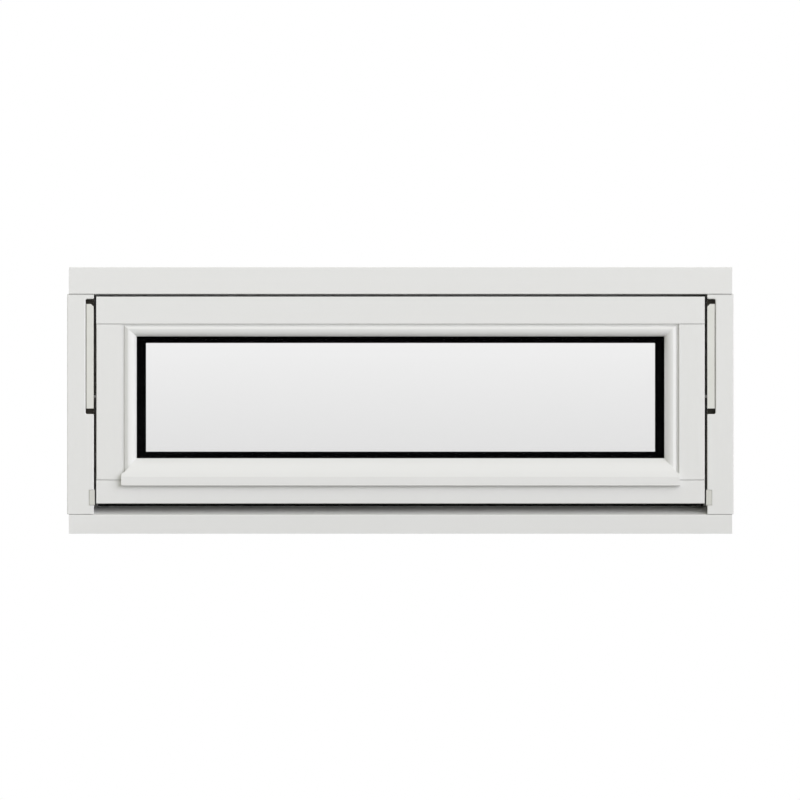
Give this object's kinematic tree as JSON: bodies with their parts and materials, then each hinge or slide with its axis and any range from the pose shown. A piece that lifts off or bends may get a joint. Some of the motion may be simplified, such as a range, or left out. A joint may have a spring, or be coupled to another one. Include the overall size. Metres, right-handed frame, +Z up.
{
  "type": "top-swing timber window",
  "caption": "White painted timber top-swing window, closed, with moulded glazing beads, a dark-edged double glazing unit and side hinges let into the jambs.",
  "frame": {"origin": "middle of the sill's underside, half way through the depth of the frame", "axes": "+X along the window, to the right as seen from outside; -Y towards the weather side; +Z up"},
  "size_m": [1, 0.122, 0.4],
  "materials": {
    "frame_paint": "opaque white paint on softwood",
    "sash_paint": "opaque white paint on softwood",
    "bead_paint": "opaque white paint on moulded softwood",
    "seal_rubber": "matt black",
    "tape_black": "matt black",
    "spacer_black": "matt black",
    "glass": "clear",
    "hinge_metal": "pale grey coated",
    "hinge_steel": "zinc plated",
    "slider_nylon": "matt",
    "guide_plastic": "matt",
    "setting_plastic": "matt",
    "handle_metal": "white coated, satin"
  },
  "bodies": {
    "root": {"frame_head": "frame_paint", "frame_sill": "frame_paint", "frame_jamb_left": "frame_paint", "frame_jamb_right": "frame_paint", "sash_top_rail": "sash_paint", "sash_bottom_rail": "sash_paint", "sash_stile_left": "sash_paint", "sash_stile_right": "sash_paint", "bead_top": "bead_paint", "bead_left": "bead_paint", "bead_right": "bead_paint", "bead_bottom": "bead_paint", "seal_head": "seal_rubber", "seal_sill": "seal_rubber", "seal_left": "seal_rubber", "seal_right": "seal_rubber", "outer_tape": "tape_black", "inner_tape": "tape_black", "spacer_frame": "spacer_black", "outer_pane": "glass", "inner_pane": "glass", "hinge_track_left": "hinge_metal", "hinge_track_right": "hinge_metal", "hinge_arm_left": "hinge_steel", "hinge_arm_right": "hinge_steel", "hinge_plate_left": "hinge_steel", "hinge_plate_right": "hinge_steel", "hinge_slider_left": "slider_nylon", "hinge_slider_right": "slider_nylon", "guide_block_left": "guide_plastic", "guide_block_right": "guide_plastic", "setting_block_left": "setting_plastic", "setting_block_right": "setting_plastic", "handle_rose": "handle_metal", "handle_lever": "handle_metal"}
  },
  "joints": []
}
